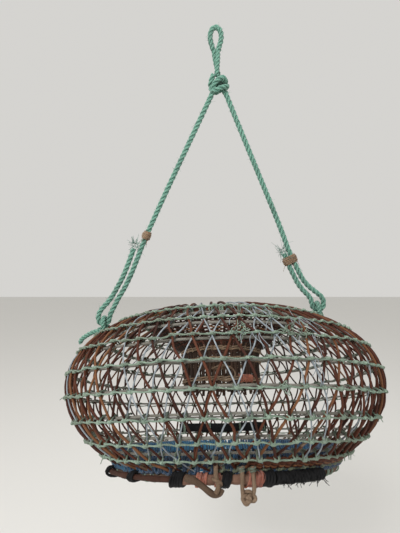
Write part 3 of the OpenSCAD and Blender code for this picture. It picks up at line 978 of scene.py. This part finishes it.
def hatch_net():
    """The wooden hoop of the base hatch, its net and the ties at the crossings and round the hoop."""
    hoop, net, knots = Tubes(), Tubes(), Tubes()
    for phase, off, size in ((0.0, -1.6, 5.2), (2.2, 1.8, 4.6)):
        t = full_circle(260)
        path = ring_path(HATCH_R + off * 0.6, HATCH_Z + off, 260, wave=0.35)
        hoop.add(path, size + 0.25 * np.sin(7 * t + phase) + 0.15 * np.sin(19 * t), 12, closed=True)
    hoop.mesh("hatch_hoop_wood", OLD_WOOD, "hatch", ["hatch_hoop"])
    lines, span = 9, HATCH_R - HATCH_TUBE - 0.6
    step = 2 * span / (lines + 1)
    marks = [-span + i * step for i in range(1, lines + 1)]
    for c in marks:
        h = math.sqrt(span * span - (abs(c) + 2) ** 2)
        net_line(net, np.array([c, -h, HATCH_Z + 1.2]), np.array([c, h, HATCH_Z + 1.2]), 9, 0.6)
        net_line(net, np.array([-h, c, HATCH_Z - 1.2]), np.array([h, c, HATCH_Z - 1.2]), 9, 0.6)
        for d in marks:
            if math.hypot(c, d) < span - 6:
                for turn in (45, 135):
                    path = oval(np.array([c, d, HATCH_Z]), ring_frame(turn)[0], UP, 3.1, 3.0,
                                full_circle(10))
                    knots.add(path, 1.0, 5, closed=True)
    for c in marks:
        for sign in (-1, 1):
            h = math.sqrt(HATCH_R ** 2 - c * c)
            for turn in (math.degrees(math.atan2(sign * h, c)), math.degrees(math.atan2(c, sign * h))):
                wraps(knots, HATCH_R, HATCH_Z, turn - 0.7, turn + 0.7, 2.2, 6.6, 1.0, 0.2)
    net.mesh("hatch_net_lines", BLUE_ROPE, "hatch", ["hatch_net"])
    knots.mesh("hatch_net_knots", MINT_TWINE, "hatch")


def hatch_bar(name, material, start, sweep, radius, node, rough):
    """A stiffening bar bent along the front of the hoop."""
    bars = Tubes()
    n = 70
    path = ring_path(BAR_RING, HATCH_Z, n, start, sweep, 0.7)
    path = path + rng.normal(0, 0.12, path.shape)
    size = radius + rough * (np.sin(np.linspace(0, 17, n)) * 0.5
                             + np.convolve(rng.normal(0, 0.9, n + 4), np.ones(5) / 5, "valid"))
    size[[0, -1]] *= 0.86
    bars.add(path, size, 16)
    bars.mesh(name, material, "hatch", [node])


def hatch_bars():
    """The three bars, black rubber round them, and the twine lashings."""
    hatch_bar("bar_left_stick", RED_WOOD, 199.3, 46.5, 3.8, "hatch_bar_left", 0.5)
    hatch_bar("bar_middle_branch", PINK_WOOD, 247.3, 32.5, 5.7, "hatch_bar_middle", 0.7)
    hatch_bar("bar_right_core", RUBBER, 286.2, 24, 6.4, "hatch_bar_right", 0.5)
    tape, lash, orange = Tubes(), Tubes(), Tubes()
    wraps(tape, BAR_RING, HATCH_Z, 286.6, 309.6, 4.4, 6.3, 1.5, 0.5, tilt=2.4)
    wraps(tape, BAR_RING, HATCH_Z, 287.5, 309.0, 5.6, 6.6, 1.4, 0.4, tilt=-3.0)
    for turn, width, high in ((201.5, 3.4, 6.6), (226, 2.0, 6.0), (249.0, 4.4, 8.0), (267.6, 3.0, 8.0),
                              (283.4, 3.4, 8.4)):
        wraps(lash, BAR_RING, HATCH_Z, turn - width / 2, turn + width / 2, 2.1, high - 0.8, 1.4, 0.4,
              high, 1.4)
        wraps(lash, LASH_RING, HATCH_Z, turn - width / 2 - 0.4, turn + width / 2, 3.6, high + 7.5, 1.3, 0.4,
              high + 1.0, 2.6)
    for _ in range(60):
        turn = rng.uniform(287, 310)
        out, side = ring_frame(turn)
        start = (BAR_RING * out + HATCH_Z * UP + 6.5 * out * rng.uniform(0.3, 1)
                 - rng.uniform(3, 7) * UP)
        way = rng.normal(0, 1, 3) + [0, 0, -0.8]
        tape.add([start + way * t * rng.uniform(2, 4) for t in np.linspace(0, 1, 4)], 0.4, 4)
    tape.mesh("bar_rubber_tape", RUBBER, "hatch")
    lash.mesh("hatch_rubber_lashings", RUBBER, "hatch", ["hatch_lashings"])
    for radius, *turns in ((BAR_RING, 275.2, 281.3, 1.7, 7.6, 1.1, 0.5, 8.2, 2.4),
                           (SEIZING_RING, 275.6, 281.0, 2.4, 12.5, 1.0, 0.6, 8.8, 3.4),
                           (BAR_RING, 256.4, 260.2, 1.8, 6.9, 1.1, 0.5, 7.6, 2.2),
                           (SEIZING_RING, 256.8, 260.0, 2.6, 12.5, 1.0, 0.6, 8.0, 3.0),
                           (BAR_RING, 263.4, 265.6, 1.9, 6.6, 1.0, 0.4, 7.4, 1.2)):
        wraps(orange, radius, HATCH_Z, *turns)
    orange.mesh("hatch_orange_lashings", ORANGE_TWINE, "hatch")


def hatch_hinge():
    """Blue turns that hinge the hatch at the back."""
    hinge = Tubes()
    for turn in (73.3, 84.5, 95.5, 106.7):
        wraps(hinge, HATCH_R, HATCH_Z, turn - 2.3, turn + 2.3, 3.4, 8.0, 1.5, 0.2, tilt=0.8)
    hinge.mesh("hinge_blue_turns", BLUE_ROPE, "hatch", ["hinge_lashings"])


def hooked_branch():
    """The branch that hooks up at the front, and the pale withy turned round it."""
    branch = Tubes()
    z = HATCH_Z
    twig = smooth([(-60, -197.6, z + 4), (-50, -200.9, z + 1), (-40, -203.6, z - 4.5),
                   (-31, -204.7, z - 11), (-24, -204.6, z - 15), (-17.5, -204.8, z - 14),
                   (-14.5, -205.5, z - 9)], 8)
    n = len(twig)
    branch.add(twig, np.linspace(4.6, 3.0, n) + 0.35 * np.sin(np.linspace(0, 14, n)), 12)
    branch.mesh("hooked_branch_wood", OLD_WOOD, "hatch", ["hooked_branch"])
    peg = Tubes()
    peg.add(smooth([(-21, -196.5, z + 27), (-21.5, -201.5, z + 14), (-21.5, -206.5, z + 4),
                    (-19.5, -209.5, z - 2), (-20, -210.5, z - 8), (-22.5, -209.5, z - 12.5)], 6), 3.0, 10)
    peg.add(smooth([(-26, -206, z + 3), (-22, -211.5, z + 1.5), (-16.5, -209, z - 1),
                    (-15.5, -205.5, z - 4)], 5), 2.2, 8)
    peg.mesh("branch_withy_turn", PALE_WITHY, "hatch")


def catch_loop():
    """A pale withy bent double and hung from the last row, with its wraps and split ends."""
    bars, twine = Tubes(), Tubes()
    x, y, top, bottom, half = 18.0, -205.0, -113.0, -151.0, 6.9
    left = [(-half - 0.4, top + 2), (-half, top - 9), (-half - 0.6, -134), (-half - 0.2, bottom + 10),
            (-half - 0.5, bottom + 3.5), (-half + 2.2, bottom - 0.5), (-1.8, bottom - 0.4),
            (-0.6, bottom + 4), (-3.4, bottom + 7.5)]
    right = [(half, top + 2), (half + 0.5, top - 12), (half + 0.6, -134), (half - 1.0, bottom + 9),
             (half - 4.4, bottom + 3.2), (-0.5, bottom + 2.0), (-3.6, bottom + 5.8),
             (-half + 0.4, bottom + 9)]
    for points, shift in ((left, -0.6), (right, 1.0)):
        path = smooth([(x + u, y + shift + 1.2 * math.sin(3 * v), v) for u, v in points], 6)
        n = len(path)
        bars.add(path, 2.6 + 0.16 * np.sin(np.linspace(0, 22, n)) + rng.normal(0, 0.04, n), 10)
    a = full_circle(22)
    for size, tilt, rise, aside in ((4.7, 0.5, 4.6, -3.3), (4.5, -0.9, 5.2, 3.2),
                                    (4.2, 1.8, 9.4, -0.8), (2.6, 2.6, 3.4, -0.2)):
        turn = np.stack([x + aside + size * np.cos(a), y - 1.2 + 3.2 * np.sin(2 * a + tilt),
                         bottom + rise + 0.85 * size * np.sin(a)], -1)
        bars.add(turn, 2.2, 8, closed=True)
    bars.mesh("catch_loop_withy", PALE_WITHY, "catch_loop", ["catch_loop"])
    for u in (-half - 0.2, half + 0.2):
        for v in (top + 0.5, top - 1.8, top - 4.0):
            ring = np.stack([x + u + 3.5 * np.cos(a), y + 0.4 + 4.0 * np.sin(a),
                             v + 0.9 * np.sin(a + v)], -1)
            twine.add(ring, 0.85, 6, closed=True)
    twine.mesh("catch_loop_seizing", GREY_TWINE, "catch_loop")


STRAP_R, STRAP_Z = 226.2, -72.0
STRAP_ARC = (62.6, 50.8)     # start and sweep, in degrees
STRAP_TIES = (64, 78, 96, 111)


def bait_strap():
    """A strip of inner tube tied against the far wall."""
    path = ring_path(STRAP_R, STRAP_Z, 60, *STRAP_ARC)
    n = len(path)
    t = np.linspace(0, 1, n)
    bars = Tubes()
    bars.add(path + UP * (0.8 * np.sin(9 * t))[:, None], 9.3 + 0.4 * np.sin(13 * t), 12,
             flat=0.15, up=UP)
    bars.mesh("bait_strap_rubber", RUBBER, "pot", ["bait_strap"])
    ties = Tubes()
    for turn in STRAP_TIES:
        wraps(ties, STRAP_R + 1.3, STRAP_Z - 1, turn - 0.5, turn + 0.5, 2.4, 5.6, 0.9, 0.1, 10.8, 0.6)
    ties.mesh("bait_strap_ties", MINT_TWINE, "pot")


WATTLE_RODS, CUT_ENDS, DOUBLED_WITHIES = 11, 46, 24


def withy_repairs():
    """Wattle in the lower right, cut ends under the last rows, and doubled withies."""
    wattle, cut, stray = Tubes(), Tubes(), Tubes()
    for i in range(WATTLE_RODS):
        angle = ROW_ANGLE[8] - 0.9 - 0.42 * i
        start, end = 279 + rng.uniform(-6, 4), 338 + rng.uniform(-8, 6)
        turn = np.linspace(start, end, 60)
        off = 0.6 + 2.2 * np.sin(turn / PITCH * 2 * np.pi + i * np.pi) - 1.2
        path = warp(on_pot(angle + 0.1 * np.sin(turn / 4 + i), turn, off))
        wattle.add(path + rng.normal(0, 0.1, path.shape), 1.5 + 0.3 * rng.random(), 7)
    for _ in range(CUT_ENDS):
        row = rng.choice([7, 8, 9], p=[0.15, 0.3, 0.55])
        angle, turn = knot(row, rng.integers(0, WITHY_COUNT))
        lean = rng.choice([-1, 1])
        reach = rng.uniform(1.2, 3.0)
        a = np.linspace(0.8, -reach, 6)
        path = on_pot(angle + a, turn + lean * (0.8 - a) * 0.85 + rng.normal(0, 0.4),
                      -1.2 + 0.25 * np.arange(6))
        cut.add(warp(path), np.linspace(2.0, 1.7, 6), 8, tone=0.9)
    for _ in range(DOUBLED_WITHIES):
        row = rng.integers(2, 9)
        k = rng.integers(0, WITHY_COUNT)
        lean = rng.choice([-1, 1])
        angle, turn = knot(row, k)
        length = rng.uniform(0.6, 1.0) * (ROW_ANGLE[row] - ROW_ANGLE[row + 1])
        a = np.linspace(1.0, -length, 8)
        path = on_pot(angle + a, turn + 0.9 + lean * (1.0 - a) / length * 0.45 * PITCH,
                      -0.8 + rng.normal(0, 0.3))
        stray.add(warp(path), 1.5, 7, tone=rng.random())
    wattle.mesh("repair_wattle", BARK, "pot")
    cut.mesh("cut_withy_ends", PALE_WITHY, "pot")
    stray.mesh("doubled_withies", BARK, "pot")


def stray_loop():
    """A withy end curled up inside the pot."""
    loop = Tubes()
    points = [(-6, -150, 22), (-14, -152, 14), (-12, -150, 2), (0, -148, -2), (12, -150, 4), (11, -153, 13),
              (3, -156, 18), (-8, -158, 20), (-22, -160, 15)]
    loop.add(smooth(points, 6), 1.3, 7)
    loop.mesh("stray_withy_loop", PALE_WITHY, "pot")


def frayed_tangles():
    """Balls of frayed twine caught on the front rows."""
    tangle = Tubes()
    for row, turn0, count in ((3, 272.5, 16), (3, 287.0, 9), (2, 285.0, 7), (3, 292.0, 9), (5, 283, 5)):
        for _ in range(count):
            start = warp(on_pot(ROW_ANGLE[row] + rng.normal(0, 0.9), turn0 + rng.normal(0, 1.1), 4.0))
            line = [start]
            way = rng.normal(0, 1, 3)
            for _ in range(7):
                way = way * 0.55 + rng.normal(0, 1, 3)
                line.append(line[-1] + way * 1.4)
            tangle.add(smooth(line, 3), 0.5, 5)
    tangle.mesh("frayed_tangles", MINT_TWINE, "pot")


def loose_threads():
    """Fine line hanging from row to row on the right front."""
    thread = Tubes()
    for _ in range(26):
        row = rng.choice([1, 2, 3, 4])
        turn0 = rng.uniform(272, 300)
        drop, run = rng.uniform(6, 14), rng.uniform(-5, 6)
        t = np.linspace(0, 1, 9)
        path = on_pot(ROW_ANGLE[row] - drop * t, turn0 + run * t + 0.5 * np.sin(5 * t + row),
                      2.6 + 1.5 * np.sin(np.pi * t))
        thread.add(smooth(warp(path), 2), 0.42, 5)
    thread.mesh("loose_line_threads", GREY_LINE, "pot")


def mending_turns():
    """Thick turns of twine that mend the wall at both sides."""
    patch = Tubes()
    for turn0, angle0 in ((348, 26.5), (192, 28.5), (352, 24.5)):
        for i in range(9):
            out_turn = turn0 + rng.normal(0, 1.2)
            a = full_circle(14)
            path = on_pot(angle0 + 1.1 * np.cos(a) + rng.normal(0, 0.7), out_turn + 1.7 * np.sin(a + 0.7),
                          -2.0 + 4.8 * np.sin(a))
            patch.add(warp(path), 1.15, 5, closed=True)
    patch.mesh("mint_repair_lashings", MINT_TWINE, "pot")


# ---- scene

def light(name, spot, aim, size, power, colour=(1, 1, 1)):
    """A rectangular soft light at spot, turned towards aim."""
    data = bpy.data.lights.new(name, "AREA")
    data.shape = "RECTANGLE"
    data.size, data.size_y = size
    data.energy = power
    data.color = colour
    lamp = linked(name, data)
    lamp.location = spot
    lamp.rotation_euler = (Vector(aim) - Vector(spot)).to_track_quat("-Z", "Y").to_euler()


FLOOR_DROP = 0.46    # below the CAD box, clear of the open hatch and of the pot as it rocks
FLOOR_HALF = 6.0
FLOOR_COLOUR = (0.74, 0.73, 0.705, 1)
WORLD_COLOUR = (0.70, 0.69, 0.665, 1)
WORLD_STRENGTH = 0.95
AIM = (0.01, 0.0, -0.6)
LIGHTS = (("key", (-0.9, -1.7, 1.0), AIM, (0.9, 0.7), 46),
          ("fill", (1.7, -1.4, 0.1), AIM, (1.4, 1.4), 5, (0.95, 0.97, 1.0)),
          ("top", (0.2, 0.9, 1.5), AIM, (1.6, 1.2), 12))
CAMERA_AT = (-0.027, -0.708, -0.362)
CAMERA_DOWN = 3.5    # degrees
LENS, SENSOR = 27.0, 36.0


def stage_and_camera():
    """A pale floor, soft light from above, and the camera."""
    scene = bpy.context.scene
    scene.view_settings.view_transform = "Standard"
    scene.world = bpy.data.worlds.new("studio")
    scene.world.use_nodes = True
    background = scene.world.node_tree.nodes["Background"]
    background.inputs["Color"].default_value = WORLD_COLOUR
    background.inputs["Strength"].default_value = WORLD_STRENGTH
    z, half = cad_box[0].z - FLOOR_DROP, FLOOR_HALF
    data = bpy.data.meshes.new("floor")
    data.from_pydata([(-half, -half, z), (half, -half, z), (half, half, z), (-half, half, z)], [],
                     [(0, 1, 2, 3)])
    paint = Nodes("floor_paint")
    paint.shader.inputs["Base Color"].default_value = FLOOR_COLOUR
    paint.shader.inputs["Roughness"].default_value = 0.9
    data.materials.append(paint.material)
    linked("floor", data)
    for lamp in LIGHTS:
        light(*lamp)
    camera_data = bpy.data.cameras.new("camera")
    camera_data.lens, camera_data.sensor_width = LENS, SENSOR
    camera = linked("camera", camera_data)
    camera.location = CAMERA_AT
    camera.rotation_euler = (math.radians(90 - CAMERA_DOWN), 0, 0)
    scene.camera = camera


stage_and_camera()
bridle()
shoulder_hitches()
weave()
hoops()
binding_rows()
mouth_rim()
funnel()
bait_strap()
sill()
hatch_net()
hatch_bars()
hatch_hinge()
hooked_branch()
catch_loop()
withy_repairs()
stray_loop()
frayed_tangles()
loose_threads()
mending_turns()
